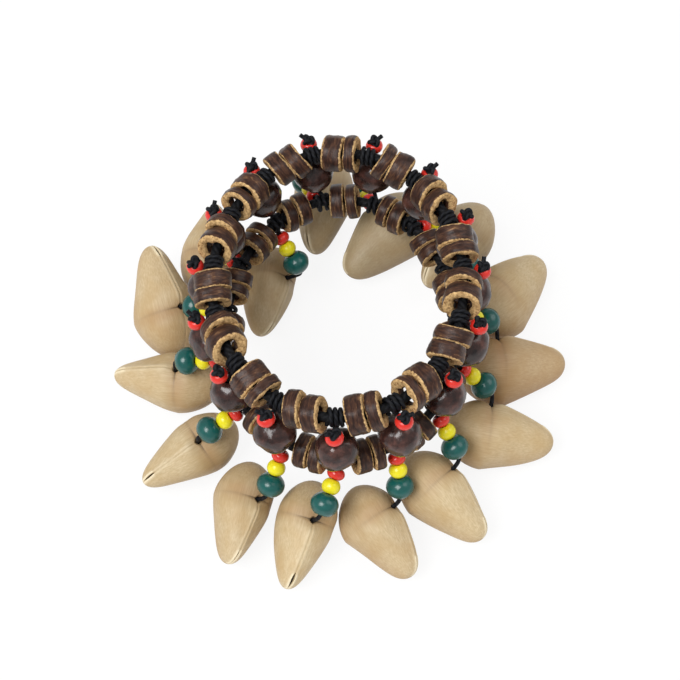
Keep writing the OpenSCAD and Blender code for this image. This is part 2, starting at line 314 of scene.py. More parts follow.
def nutshell_finish():
    material, tree, shader = new_material("dry nutshell")
    grain = add(tree, "ShaderNodeAttribute", attribute_name="grain")
    drawn = add(tree, "ShaderNodeMapping", {
        "Vector": grain.outputs["Vector"],
        "Scale": (1 / FIBRE_LENGTH, 1 / FIBRE_WIDTH, 1 / FIBRE_WIDTH),
    })
    fibres = add(tree, "ShaderNodeTexNoise", {
        "Vector": drawn.outputs["Vector"], "Scale": 1.0, "Detail": 5.0, "Roughness": 0.6,
    })
    blotches = add(tree, "ShaderNodeTexNoise", {
        "Vector": grain.outputs["Vector"], "Scale": 1 / BLOTCH, "Detail": 3.0,
    })
    body = add(tree, "ShaderNodeValToRGB", {"Fac": fibres.outputs["Fac"]},
               stops=((0.2, "#AF976F"), (0.76, "#D4C19C")))
    patch = add(tree, "ShaderNodeMapRange", {
        "Value": blotches.outputs["Fac"], "From Min": 0.38, "From Max": 0.68, "To Max": 0.7,
    })
    tone = add(tree, "ShaderNodeMix", {
        "Factor": patch.outputs["Result"], 6: body.outputs["Color"], 7: linear("#B79A6B"),
    }, data_type="RGBA")
    for weight, colour in WEATHER_AND_SHADE:
        where = add(tree, "ShaderNodeAttribute", attribute_name=weight)
        tone = add(tree, "ShaderNodeMix", {
            "Factor": where.outputs["Fac"], 6: tone.outputs[2], 7: linear(colour),
        }, data_type="RGBA")
    rough = add(tree, "ShaderNodeMapRange", {
        "Value": fibres.outputs["Fac"], "To Min": 0.62, "To Max": 0.45,
    })
    bump = add(tree, "ShaderNodeBump", {
        "Height": fibres.outputs["Fac"], "Strength": 0.35, "Distance": 0.25 * MM,
    })
    connect(tree, shader, {
        "Base Color": tone.outputs[2], "Roughness": rough.outputs["Result"],
        "Normal": bump.outputs["Normal"], "IOR": 1.48,
    })
    return material


NUTSHELL = nutshell_finish()
print("finish:", NUTSHELL.name)

# %% [markdown]
# ### Coconut shell
#
# Turned rings of coconut shell: a dark, polished skin outside and pale, fibrous cut faces. Two
# materials on two sets of faces would meet in a hard line. Here the mesh says how far each point
# belongs to a cut face, and one material goes from skin to raw shell with a ragged edge. The
# streaks of the skin run round each disc, so they are drawn on the disc's own coordinates in
# millimetres, with a number that differs from disc to disc.

# %% Coconut finish
# The skin looks streaky and softly polished, and the raw faces look dull and rough.
STREAK_LONG, STREAK_WIDE = 3.2, 0.7
CUT_FIBRE = 0.7


def coconut_finish():
    material, tree, shader = new_material("coconut shell")
    place = add(tree, "ShaderNodeTexCoord").outputs["Object"]
    cut = add(tree, "ShaderNodeAttribute", attribute_name="cut")
    local = add(tree, "ShaderNodeAttribute", attribute_name="local")
    which = add(tree, "ShaderNodeAttribute", attribute_name="which")
    drawn = add(tree, "ShaderNodeMapping", {
        "Vector": local.outputs["Vector"],
        "Scale": (1 / STREAK_LONG, 1 / STREAK_LONG, 1 / STREAK_WIDE),
    })
    streaks = add(tree, "ShaderNodeTexNoise", {
        "Vector": drawn.outputs["Vector"], "W": which.outputs["Fac"], "Scale": 1.0, "Detail": 6.0,
        "Roughness": 0.68, "Distortion": 0.5,
    }, noise_dimensions="4D")
    fibres = add(tree, "ShaderNodeTexNoise", {
        "Vector": place, "Scale": per_mm(CUT_FIBRE), "Detail": 5.0, "Roughness": 0.7,
    })
    skin = add(tree, "ShaderNodeValToRGB", {"Fac": streaks.outputs["Fac"]},
               stops=((0.34, "#190D09"), (0.48, "#36211A"), (0.6, "#533727"), (0.74, "#96714C")))
    raw = add(tree, "ShaderNodeValToRGB", {"Fac": fibres.outputs["Fac"]},
              stops=((0.32, "#74502C"), (0.62, "#D9B57F")))
    edge = add(tree, "ShaderNodeMath", {0: fibres.outputs["Fac"], 1: 0.5}, operation="SUBTRACT")
    ragged = add(tree, "ShaderNodeMath", {0: edge.outputs[0], 1: 1.1, 2: cut.outputs["Fac"]},
                 operation="MULTIPLY_ADD")
    where = add(tree, "ShaderNodeMapRange", {
        "Value": ragged.outputs[0], "From Min": 0.34, "From Max": 0.5,
    })
    colour = add(tree, "ShaderNodeMix", {
        "Factor": where.outputs["Result"], 6: skin.outputs["Color"], 7: raw.outputs["Color"],
    }, data_type="RGBA")
    rough = add(tree, "ShaderNodeMapRange", {
        "Value": where.outputs["Result"], "To Min": 0.34, "To Max": 0.85,
    })
    height = add(tree, "ShaderNodeMix", {
        "Factor": where.outputs["Result"], 2: streaks.outputs["Fac"], 3: fibres.outputs["Fac"],
    })
    bump = add(tree, "ShaderNodeBump", {
        "Height": height.outputs[0], "Strength": 0.5, "Distance": 0.3 * MM,
    })
    connect(tree, shader, {
        "Base Color": colour.outputs[2], "Roughness": rough.outputs["Result"],
        "Normal": bump.outputs["Normal"], "IOR": 1.5, "Specular IOR Level": 0.25,
    })
    return material


COCONUT = coconut_finish()
print("finish:", COCONUT.name)

# %% [markdown]
# ### Polished palm nut
#
# The round beads are small dark nuts, tumbled until they shine: uneven, mottled purple-brown. One
# dark glossy colour would look like plastic, so a slow mottle drives the colour, the gloss and a
# slight unevenness together.

# %% Palm nut finish
# The eye gets a deep, dark gloss that changes a little from patch to patch.
MOTTLE = 2.6


def palm_nut_finish():
    material, tree, shader = new_material("polished palm nut")
    place = add(tree, "ShaderNodeTexCoord").outputs["Object"]
    mottle = add(tree, "ShaderNodeTexNoise", {
        "Vector": place, "Scale": per_mm(MOTTLE), "Detail": 5.0, "Roughness": 0.6,
    })
    colour = add(tree, "ShaderNodeValToRGB", {"Fac": mottle.outputs["Fac"]},
                 stops=((0.3, "#170C0B"), (0.5, "#35201C"), (0.72, "#5C3B33")))
    rough = add(tree, "ShaderNodeMapRange", {
        "Value": mottle.outputs["Fac"], "To Min": 0.26, "To Max": 0.14,
    })
    bump = add(tree, "ShaderNodeBump", {
        "Height": mottle.outputs["Fac"], "Strength": 0.35, "Distance": 0.4 * MM,
    })
    connect(tree, shader, {
        "Base Color": colour.outputs["Color"], "Roughness": rough.outputs["Result"],
        "Normal": bump.outputs["Normal"], "IOR": 1.5,
    })
    return material


PALM_NUT = palm_nut_finish()
print("finish:", PALM_NUT.name)

# %% [markdown]
# ### Gloss paint on wood
#
# Small wooden beads, dipped in paint. The paint is thick and glossy, and a little darker where it
# pools. A plain colour would nearly do at this size, but real paint dries faintly uneven, so the
# pooling also bends the surface. One function makes all three paints, which differ only in colour.

# %% Paint finish
# A bright gloss, with highlights that break up a little.
PAINT_POOL = 1.6


def paint_finish(name, thin, thick):
    material, tree, shader = new_material(name)
    place = add(tree, "ShaderNodeTexCoord").outputs["Object"]
    pooled = add(tree, "ShaderNodeTexNoise", {
        "Vector": place, "Scale": per_mm(PAINT_POOL), "Detail": 3.0,
    })
    colour = add(tree, "ShaderNodeMix", {
        "Factor": pooled.outputs["Fac"], 6: linear(thin), 7: linear(thick),
    }, data_type="RGBA")
    bump = add(tree, "ShaderNodeBump", {
        "Height": pooled.outputs["Fac"], "Strength": 0.18, "Distance": 0.25 * MM,
    })
    connect(tree, shader, {
        "Base Color": colour.outputs[2], "Normal": bump.outputs["Normal"], "Roughness": 0.24, "IOR": 1.5,
    })
    return material


RED = paint_finish("red gloss paint", "#E23A2E", "#C41F1A")
YELLOW = paint_finish("yellow gloss paint", "#F0E52A", "#D9CC0A")
GREEN = paint_finish("green gloss paint", "#19605A", "#0A423F")
print("finishes:", RED.name, YELLOW.name, GREEN.name)

# %% [markdown]
# ### Waxed cord and woven elastic
#
# Both are black textile. Their strands could be modelled, at the price of many faces for
# something a millimetre across. Here the twist of the cord and the weave of the elastic are a wave
# in bump, and in colour painted darker in the grooves as painted shade. It follows the run of the
# piece on its own map: millimetres along, and one turn around.

# %% Textile finish
# Nearly black, with painted shade in the grooves of the twist and a dull painted sheen on its
# crests. The fuzz is coarser than real fibres, which are too fine to show.
TWIST_PITCH = 1.6
FUZZ = 0.3


def textile_finish(name, colour, groove_shade, turns):
    material, tree, shader = new_material(name)
    run = add(tree, "ShaderNodeUVMap", uv_map="run")
    split = add(tree, "ShaderNodeSeparateXYZ", {"Vector": run.outputs["UV"]})
    along = add(tree, "ShaderNodeMath", {0: split.outputs["X"], 1: 1 / TWIST_PITCH},
                operation="MULTIPLY")
    lay = add(tree, "ShaderNodeMath", {0: split.outputs["Y"], 1: turns, 2: along.outputs[0]},
              operation="MULTIPLY_ADD")
    angle = add(tree, "ShaderNodeMath", {0: lay.outputs[0], 1: 2 * math.pi}, operation="MULTIPLY")
    ply = add(tree, "ShaderNodeMath", {0: angle.outputs[0]}, operation="SINE")
    fuzz = add(tree, "ShaderNodeTexNoise", {
        "Vector": add(tree, "ShaderNodeTexCoord").outputs["Object"], "Scale": per_mm(FUZZ),
        "Detail": 3.0,
    })
    # painted shade in the grooves between the plies and a painted sheen on their crests
    shade = add(tree, "ShaderNodeMapRange", {"Value": ply.outputs[0], "From Min": -1.0})
    tone = add(tree, "ShaderNodeMix", {
        "Factor": shade.outputs["Result"], 6: linear(groove_shade), 7: linear(colour),
    }, data_type="RGBA")
    height = add(tree, "ShaderNodeMath", {0: fuzz.outputs["Fac"], 1: 0.6, 2: shade.outputs["Result"]},
                 operation="MULTIPLY_ADD")
    bump = add(tree, "ShaderNodeBump", {
        "Height": height.outputs[0], "Strength": 0.7, "Distance": 0.15 * MM,
    })
    connect(tree, shader, {
        "Base Color": tone.outputs[2], "Normal": bump.outputs["Normal"],
        "Roughness": 0.62, "Specular IOR Level": 0.2,
    })
    return material


CORD = textile_finish("waxed cotton cord", "#17191F", "#0A0B0E", 2)
ELASTIC = textile_finish("woven elastic", "#15161B", "#090A0C", 4)
print("finishes:", CORD.name, ELASTIC.name)

# %% [markdown]
# ## Discs and beads
#
# Every disc and bead is a turned shape on a cord. Each could be turned by itself with a Screw
# modifier, but there are 135 of them. So each kind is one lathe profile, and a node tree threads
# copies of it on points. Each point carries the direction of its cord and the copy's stretch
# along it. The tree spins every copy at random about that direction, makes some a little
# narrower, gives each a number for its finish, and then pushes the surface in and out, which makes
# each piece its own.

# %% Turn a profile on a lathe
SEGMENTS = 40


def turned(name, profile):
    """A closed ring turned from (radius, height, cut, loose) rows in millimetres."""
    verts, faces, cut, loose, local = [], [], [], [], []
    rows = len(profile)
    for i in range(SEGMENTS):
        angle = 2 * math.pi * i / SEGMENTS
        for radius, height, is_cut, is_loose in profile:
            local.append((radius * math.cos(angle), radius * math.sin(angle), height))
            verts.append(Vector(local[-1]) * MM)
            cut.append(is_cut)
            loose.append(is_loose)
    for i in range(SEGMENTS):
        for j in range(rows):
            a, b = i * rows + j, i * rows + (j + 1) % rows
            c, d = (a + rows) % len(verts), (b + rows) % len(verts)
            faces.append((a, c, d, b))
    return mesh_piece(name, verts, faces, attributes=[
        ("cut", "FLOAT", cut), ("loose", "FLOAT", loose), ("local", "FLOAT_VECTOR", local),
    ])


def mirrored(half):
    """A profile's lower half from its upper half, which starts at the middle of the outside."""
    lower = [(radius, -height, cut, loose) for radius, height, cut, loose in reversed(half[1:-1])]
    return half + lower


DISC_HALF = [
    # radius, share of the half thickness, cut face, looseness
    (4.76, 0.00, 0.0, 1.0), (4.80, 0.26, 0.0, 1.0), (4.76, 0.62, 0.0, 1.0), (4.66, 0.82, 0.35, 1.0),
    (4.48, 0.94, 0.8, 1.0), (4.24, 1.00, 1.0, 0.8), (3.80, 1.00, 1.0, 0.8), (3.30, 0.96, 1.0, 1.0),
    (2.90, 0.88, 0.9, 1.6), (2.62, 0.76, 0.7, 2.2), (2.44, 0.56, 0.4, 2.4), (2.36, 0.28, 0.1, 2.0),
    (2.34, 0.00, 0.1, 2.0),
]
UPPER_HALF, LOWER_HALF = 1.98, 1.62
LOWER_SIZE = 0.96
BORE = 0.9
MOUTH = 0.25
BEAD_ROWS = 9


def bead_profile(radius, half, fullness):
    """A bead with a rounded mouth at each end of its bore, in millimetres."""
    rows = []
    for i in range(BEAD_ROWS):
        height = half * (i / (BEAD_ROWS - 1)) ** 0.8
        side = radius * math.sqrt(1 - (height / (half * fullness)) ** 2)
        rows.append((max(side, BORE + MOUTH), height, 0.0, 1.0))
    rows += [(BORE + 0.05, half - 0.12, 0.0, 0.3), (BORE, half - 0.4, 0.0, 0.0), (BORE, 0.0, 0.0, 0.0)]
    return mirrored(rows)


def disc_profile(half, size):
    return mirrored([(radius * size, share * half, cut, loose) for radius, share, cut, loose in DISC_HALF])


upper_disc = turned("upper_disc", disc_profile(UPPER_HALF, 1.0))
lower_disc = turned("lower_disc", disc_profile(LOWER_HALF, LOWER_SIZE))
# radius, half length, and how much longer a whole ellipse of this form would be
round_master = turned("round_master", bead_profile(5.3, 5.1, 1.03))
red_master = turned("red_master", bead_profile(2.2, 1.38, 1.25))
yellow_master = turned("yellow_master", bead_profile(2.3, 1.78, 1.2))
green_master = turned("green_master", bead_profile(3.5, 2.68, 1.14))
MASTERS = (upper_disc, lower_disc, round_master, red_master, yellow_master, green_master)
print("turned shapes:", len(MASTERS))

# %% Thread copies on points with Geometry Nodes


def thread_tree():
    tree = bpy.data.node_groups.new("thread on cord", "GeometryNodeTree")
    face = tree.interface
    face.new_socket("Geometry", in_out="INPUT", socket_type="NodeSocketGeometry")
    face.new_socket("Piece", in_out="INPUT", socket_type="NodeSocketObject")
    face.new_socket("Least size", in_out="INPUT", socket_type="NodeSocketFloat")
    face.new_socket("Unevenness", in_out="INPUT", socket_type="NodeSocketFloat")
    face.new_socket("Lump scale", in_out="INPUT", socket_type="NodeSocketFloat")
    face.new_socket("Seed", in_out="INPUT", socket_type="NodeSocketInt")
    face.new_socket("Finish", in_out="INPUT", socket_type="NodeSocketMaterial")
    face.new_socket("Geometry", in_out="OUTPUT", socket_type="NodeSocketGeometry")
    given = add(tree, "NodeGroupInput").outputs
    axis = add(tree, "GeometryNodeInputNamedAttribute", {"Name": "axis"}, data_type="FLOAT_VECTOR")
    loose = add(tree, "GeometryNodeInputNamedAttribute", {"Name": "loose"}, data_type="FLOAT")
    stretch = add(tree, "GeometryNodeInputNamedAttribute", {"Name": "stretch"}, data_type="FLOAT")
    copied = add(tree, "GeometryNodeObjectInfo", {"Object": given["Piece"]})
    aimed = add(tree, "FunctionNodeAlignRotationToVector", {"Vector": axis.outputs[0]}, axis="Z")
    spin = add(tree, "FunctionNodeRandomValue", {2: 0.0, 3: 2 * math.pi, "Seed": given["Seed"]},
               data_type="FLOAT")
    spun = add(tree, "FunctionNodeAxisAngleToRotation", {"Axis": (0, 0, 1), "Angle": spin.outputs[1]})
    rotation = add(tree, "FunctionNodeRotateRotation", {0: aimed.outputs[0], 1: spun.outputs[0]},
                   rotation_space="LOCAL")
    size = add(tree, "FunctionNodeRandomValue", {2: given["Least size"], 3: 1.0, "Seed": given["Seed"]},
               data_type="FLOAT")
    scale = add(tree, "ShaderNodeCombineXYZ", {
        0: size.outputs[1], 1: size.outputs[1], 2: stretch.outputs[0],
    })
    threaded = add(tree, "GeometryNodeInstanceOnPoints", {
        "Points": given["Geometry"], "Instance": copied.outputs["Geometry"],
        "Rotation": rotation.outputs[0], "Scale": scale.outputs[0],
    })
    number = add(tree, "FunctionNodeRandomValue", {2: 0.0, 3: 100.0, "Seed": given["Seed"]},
                 data_type="FLOAT")
    numbered = add(tree, "GeometryNodeStoreNamedAttribute", {
        "Geometry": threaded.outputs[0], "Name": "which", "Value": number.outputs[1],
    }, data_type="FLOAT", domain="INSTANCE")
    real = add(tree, "GeometryNodeRealizeInstances", {"Geometry": numbered.outputs[0]})
    lumps = add(tree, "ShaderNodeTexNoise", {
        "Vector": add(tree, "GeometryNodeInputPosition").outputs[0], "W": given["Seed"],
        "Scale": given["Lump scale"], "Detail": 2.0,
    }, noise_dimensions="4D")
    about = add(tree, "ShaderNodeMath", {0: lumps.outputs["Fac"], 1: 0.5}, operation="SUBTRACT")
    swing = add(tree, "ShaderNodeMath", {0: about.outputs[0], 1: loose.outputs[0]},
                operation="MULTIPLY")
    reach = add(tree, "ShaderNodeMath", {0: swing.outputs[0], 1: given["Unevenness"]},
                operation="MULTIPLY")
    push = add(tree, "ShaderNodeVectorMath", {
        0: add(tree, "GeometryNodeInputNormal").outputs[0], "Scale": reach.outputs[0],
    }, operation="SCALE")
    moved = add(tree, "GeometryNodeSetPosition", {
        "Geometry": real.outputs[0], "Offset": push.outputs[0],
    })
    finished = add(tree, "GeometryNodeSetMaterial", {
        "Geometry": moved.outputs[0], "Material": given["Finish"],
    })
    add(tree, "NodeGroupOutput", {0: finished.outputs[0]})
    return tree


THREAD = thread_tree()
THREAD_INPUT = {item.name: item.identifier for item in THREAD.interface.items_tree
                if item.in_out == "INPUT"}
print("thread tree nodes:", len(THREAD.nodes))

# %% Turn a threaded row into a plain mesh


def thread(name, master, places, ways, finish, uneven=0.0, lump=3.0, seed=1, least=1.0, stretches=None):
    """Threads copies of a master on the given places as one plain mesh. Sizes in millimetres."""
    points = bpy.data.meshes.new(name)
    points.from_pydata([tuple(place) for place in places], [], [])
    axis = points.attributes.new("axis", "FLOAT_VECTOR", "POINT")
    axis.data.foreach_set("vector", np.array([tuple(way) for way in ways], np.float32).ravel())
    stretch = points.attributes.new("stretch", "FLOAT", "POINT")
    stretch.data.foreach_set("value", np.array(stretches or [1.0] * len(places), np.float32))
    piece = bpy.data.objects.new(name, points)
    bpy.context.scene.collection.objects.link(piece)
    modifier = piece.modifiers.new("thread", "NODES")
    modifier.node_group = THREAD
    modifier[THREAD_INPUT["Piece"]] = master
    modifier[THREAD_INPUT["Least size"]] = least
    modifier[THREAD_INPUT["Unevenness"]] = uneven * MM
    modifier[THREAD_INPUT["Lump scale"]] = per_mm(lump)
    modifier[THREAD_INPUT["Seed"]] = seed
    modifier[THREAD_INPUT["Finish"]] = finish
    now = bpy.context.evaluated_depsgraph_get()
    mesh = bpy.data.meshes.new_from_object(piece.evaluated_get(now), depsgraph=now)
    piece.modifiers.clear()
    piece.data = mesh
    mesh.shade_smooth()
    return piece


print("thread tree inputs:", ", ".join(THREAD_INPUT))

# %% [markdown]
# The discs sit in pairs on the two elastics. Their bores are torn rather than drilled, which is
# why the bore of the profile is the loosest part of it. The bores are also far wider than the
# elastic, so every pair leans its own way and shows a pale cut face. One disc of a pair is
# thicker than the other. The leans could be random, but as short lists neighbours always differ.
# The lower discs stray less, because the swinging beads pass them.

# %% Coconut discs on both loops
# each pair's lean and twist in degrees, and the first disc's share of the thickness
LEANS = [16, -12, 19, -17, 9, -19, 15, -8, -18, 13, 18, -14, 20, -10, 17]
TWISTS = [-6, 8, 4, -9, 7, 3, -8, 5, 9, -4, 6, -7, -3, 8, -5]
SHARES = [1.0, 1.24, 0.8, 1.12, 0.72, 1.28, 0.9, 1.18, 0.76, 1.06, 1.3, 0.84, 0.96, 1.22, 0.74]
EACH = 3
RAGGED = 1.5
NARROWEST = 0.93


def leaned(way, lean, twist):
    """A disc's axis, tipped up or down by lean and turned aside by twist, in degrees."""
    level = way.cross(UP).normalized()
    tipped = Matrix.Rotation(math.radians(lean), 3, level) @ way
    return Matrix.Rotation(math.radians(twist), 3, UP) @ tipped


def disc_row(name, node, master, half, pairs, seed, slack):
    """One loop's discs. The two of a pair share its length, and slack is how far they stray."""
    places, ways, stretches = [], [], []
    for i, (first, second) in enumerate(pairs):
        way = (second - first).normalized()
        lean, twist = slack * LEANS[(i + seed) % COUNT], slack * TWISTS[(i + 2 * seed) % COUNT]
        share = 1 + slack * (SHARES[(i + 3 * seed) % COUNT] - 1)
        shift = way * half * (share - 1) * MM
        places += [first + shift, second + shift]
        ways += [leaned(way, lean - EACH, twist), leaned(way, lean + EACH, twist)]
        stretches += [share, 2 - share]
    piece = thread(name, master, places, ways, COCONUT, uneven=RAGGED * slack, lump=3.0, seed=seed,
                   least=NARROWEST, stretches=stretches)
    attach(piece, "band")
    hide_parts(node)
    print(name, len(places), "discs,", len(piece.data.polygons), "faces")


disc_row("coconut_discs_upper", "upper_discs", upper_disc, UPPER_HALF, upper_pairs, 11, 1.0)
disc_row("coconut_discs_lower", "lower_discs", lower_disc, LOWER_HALF, lower_pairs, 12, 0.5)

# %% [markdown]
# On every strand a dark nut sits between the two loops, and a small red bead sits on top, under
# the knot. Spheres would come close, but these have a bore with a rounded mouth, so the cord is
# seen to run into them. They don't swing, so each kind is one piece for all strands.

# %% Round beads and top beads of the band
round_beads = thread("palm_nut_beads", round_master, [s.round for s in strands],
                     [s.up for s in strands], PALM_NUT, uneven=2.0, lump=5.0, seed=21)
top_beads = thread("red_top_beads", red_master, [s.top for s in strands],
                   [s.up for s in strands], RED, uneven=0.2, lump=2.0, seed=22)
for piece, node, slot in ((round_beads, "round_beads", "dark_bead"), (top_beads, "top_beads", "red_bead")):
    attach(piece, "band")
    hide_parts(node)
print("band beads:", len(strands), "dark and", len(strands), "red")

# %% [markdown]
# The three painted beads of a chain swing with their own cord, so each strand gets its own
# pieces, and they ride on that strand's body. A chain could be one piece, but as separate pieces
# each bead keeps its own finish and unevenness.

# %% Painted beads of the hanging chains
CHAIN = (
    ("red", red_master, RED, 0.2),
    ("yellow", yellow_master, YELLOW, 0.25),
    ("green", green_master, GREEN, 0.35),
)
for k, strand in enumerate(strands):
    for i, (colour, master, finish, uneven) in enumerate(CHAIN):
        piece = thread(f"{colour}_bead_{strand.tag}", master, [getattr(strand, colour)], [strand.way],
                       finish, uneven=uneven, lump=2.4, seed=100 + 3 * k + i)
        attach(piece, "drop_" + strand.tag)
        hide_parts("drop_beads_" + strand.tag)
print("chain beads:", len(CHAIN) * len(strands))

for master in MASTERS:
    bpy.data.objects.remove(master)

# %% [markdown]
# ## Elastic and cord
#
# A cord is a tube swept along a smooth path. A curve with a round bevel would give that tube
# too. Here it is made ring by ring, because its map has to count millimetres along and turns
# around, for the twist of the textile. The path is a curve through a few places, and the tube's
# cross-section is carried along without twisting.

# %% Smooth paths


def smooth_path(points, closed=False, steps=6):
    """A smooth curve that passes through every point."""
    p = [Vector(point) for point in points]
    count = len(p)
    path = []
    for i in range(count if closed else count - 1):
        if closed:
            a, b, c, d = p[i - 1], p[i], p[(i + 1) % count], p[(i + 2) % count]
        else:
            a, b, c, d = p[max(i - 1, 0)], p[i], p[i + 1], p[min(i + 2, count - 1)]
        for j in range(steps):
            t = j / steps
            path.append(0.5 * (2 * b + (c - a) * t + (2 * a - 5 * b + 4 * c - d) * t * t
                               + (3 * b - a - 3 * c + d) * t ** 3))
    if not closed:
        path.append(p[-1])
    return path


print("points round the upper loop:", len(smooth_path(upper_corners, closed=True)))

# %% Sweep tubes along paths
TUBE_SIDES = 10


def swept(runs):
    """Vertices, faces and map of tubes along several (path, radius, closed) runs."""
    verts, faces, uvs = [], [], []
    for path, radius, closed in runs:
        base, count, run = len(verts), len(path), 0.0
        lengths = []
        side = None
        for i, point in enumerate(path):
            before = path[i - 1] if closed or i else path[0]
            after = path[(i + 1) % count] if closed or i + 1 < count else path[-1]
            way = (after - before).normalized()
            if side is None:
                side = way.orthogonal().normalized()
            side = (side - way * side.dot(way)).normalized()
            other = way.cross(side)
            if i:
                run += (point - path[i - 1]).length / MM
            lengths.append(run)
            for j in range(TUBE_SIDES):
                turn = 2 * math.pi * j / TUBE_SIDES
                verts.append(point + radius * (math.cos(turn) * side + math.sin(turn) * other))
        last = run + (path[0] - path[-1]).length / MM
        for i in range(count if closed else count - 1):
            here, there = lengths[i], lengths[i + 1] if i + 1 < count else last
            for j in range(TUBE_SIDES):
                k = (j + 1) % TUBE_SIDES
                a, b = base + i * TUBE_SIDES, base + (i + 1) % count * TUBE_SIDES
                faces.append((a + j, b + j, b + k, a + k))
                low, high = j / TUBE_SIDES, (j + 1) / TUBE_SIDES
                uvs += [(here, low), (there, low), (there, high), (here, high)]
        if not closed:
            for ring in (range(TUBE_SIDES), range((count - 1) * TUBE_SIDES, count * TUBE_SIDES)):
                faces.append(tuple(base + i for i in ring))
                uvs += [(0, 0)] * TUBE_SIDES
    return verts, faces, uvs


def tube_piece(name, runs, finish):
    verts, faces, uvs = swept(runs)
    piece = mesh_piece(name, verts, faces, uvs)
    piece.data.materials.append(finish)
    return piece


# %% Elastic loops
ELASTIC_RADIUS = 1.2 * MM
for name, node, corners in (("elastic_upper", "upper_elastic", upper_corners),
                            ("elastic_lower", "lower_elastic", lower_corners)):
    piece = tube_piece(name, [(smooth_path(corners, closed=True), ELASTIC_RADIUS, True)], ELASTIC)
    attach(piece, "band")
    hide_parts(node)
    print(name, "corners:", len(corners))

# %% [markdown]
# A strand's cord starts in a knot on top of the red bead, takes a few turns round the upper
# elastic, runs down through the dark bead and takes turns round the lower elastic. The turns
# are a short helix. A ball would pass for the knot from afar. A trefoil, the closed form of the
# simplest knot there is, shows how the cord crosses itself, so it is drawn tight here, with a cut
# tail beside it.

# %% Fixed cords of the band
CORD_RADIUS = 0.55 * MM
TURN_RADIUS = 1.85 * MM
TURN_PITCH = 1.25 * MM
TURN_STEPS = 20
UPPER_TURNS, LOWER_TURNS = 2.9, 1.2
MOUTH_REACH = 5.85 * MM
RED_REACH = 1.75 * MM
LOW_ASIDE = 1.9 * MM
KNOT_SIZE = 0.42 * MM
KNOT_STEPS = 42
TAIL_BEND, TAIL_END, TAIL_LIFT = 1.3 * MM, 2.4 * MM, 0.2 * MM
TAIL_SLOPE = 0.55


def turns_round(centre, along, start, turns):
    """A helix of cord round a stretch of elastic, starting from one side."""
    other = along.cross(start)
    path = []
    for i in range(int(turns * TURN_STEPS) + 1):
        angle = 2 * math.pi * i / TURN_STEPS
        shift = (i / TURN_STEPS - turns / 2) * TURN_PITCH
        spoke = math.cos(angle) * start + math.sin(angle) * other
        path.append(centre + along * shift + TURN_RADIUS * spoke)
    return path


def knot(centre, up, aside):
    """A tight trefoil knot that lies across the cord."""
    third = up.cross(aside)
    path = []
    for i in range(KNOT_STEPS):
        t = 2 * math.pi * i / KNOT_STEPS
        flat = (math.sin(t) + 2 * math.sin(2 * t)) * aside + (math.cos(t) - 2 * math.cos(2 * t)) * third
        path.append(centre + KNOT_SIZE * (flat - 1.6 * math.sin(3 * t) * up))
    return path


def fixed_cord(strand, tail_turn):
    """The runs of one strand's cord in the band, as (path, radius, closed)."""
    up, out, along = strand.up, strand.out, strand.high_along
    knot_at = strand.top + up * RED_REACH
    mouth = strand.round + up * MOUTH_REACH
    free_side = -1 if strand.way.dot(strand.low_along) > 0 else 1
    low_side = strand.low + strand.low_along * free_side * LOW_ASIDE
    down = [
        knot_at,
        strand.top,
        strand.top - up * RED_REACH,
        mouth,
        strand.round,
        strand.round - up * MOUTH_REACH,
        low_side + up * TURN_RADIUS,
    ]
    drawn = mouth - strand.high
    drawn = (drawn - along * drawn.dot(along)).normalized()
    tail_way = (math.cos(tail_turn) * along + math.sin(tail_turn) * out + TAIL_SLOPE * up).normalized()
    tail = [knot_at, knot_at + tail_way * TAIL_BEND, knot_at + tail_way * TAIL_END + up * TAIL_LIFT]
    return [
        (smooth_path(down), CORD_RADIUS, False),
        (smooth_path([strand.high + TURN_RADIUS * drawn, mouth]), CORD_RADIUS, False),
        (knot(knot_at, up, along), CORD_RADIUS, True),
        (smooth_path(tail), CORD_RADIUS, False),
        (turns_round(strand.high, along, drawn, UPPER_TURNS), CORD_RADIUS, False),
        (turns_round(low_side, strand.low_along, up, LOWER_TURNS), CORD_RADIUS, False),
    ]


# which way each tail points, in radians from the elastic outwards
TAIL_TURNS = [2.6, 0.4, 2.2, 3.4, 0.2, 2.9, 1.9, 2.5, 0.6, 2.8, 3.1, 0.3, 2.4, 0.1, 2.7]
runs = [run for strand, turn in zip(strands, TAIL_TURNS) for run in fixed_cord(strand, turn)]
cords = tube_piece("strand_cords_fixed", runs, CORD)
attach(cords, "band")
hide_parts("strand_cords")
print("fixed cords:", len(strands), "faces:", len(cords.data.polygons))

# %% [markdown]
# The rest of the cord swings with the chain: one turn round the lower elastic, the run through
# the three painted beads, and a bend past the green bead into the hole of the shell, where a
# knot holds it. A soft cord would suit a long free run. This one is short and threaded through
# stiff beads, so it rides with them. It turns on the elastic, so its first turn is a ring.

# %% Swinging cords
BEND_REACH, BEND_CUT = 3.35 * MM, 1.1 * MM
CORD_INSIDE, KNOT_INSIDE = 2.2 * MM, 2.9 * MM
SWING_TURN = [(math.cos(t), math.sin(t)) for t in np.linspace(0, 2 * math.pi, 24, endpoint=False)]
STRANDS = [
    # as in the part's source: heading of the shell's tip, roll from seam up, dip of the tip, size
    (254, -22, 12, 0.92), (304, -52, 8, 0.88), (313, -46, 8, 0.93), (353, -52, 8, 0.95),
    (8, -54, 8, 0.98), (46, -56, 8, 1.02), (233, 20, 8, 0.94), (228, 60, 5, 1.00),
    (262, 30, 8, 0.98), (262, -52, 6, 0.86), (84, 15, -4, 0.90), (107, 28, -20, 1.02),
    (172, 0, 4, 0.94), (213, -12, 8, 0.92), (257, -40, 8, 0.88),
]


def shell_turn(row):
    """How a shell is turned from lying along X with its seam up."""
    heading, roll, dip, _ = row
    return (Matrix.Rotation(math.radians(heading), 3, "Z") @ Matrix.Rotation(math.radians(dip), 3, "Y")
            @ Matrix.Rotation(math.radians(roll), 3, "X"))


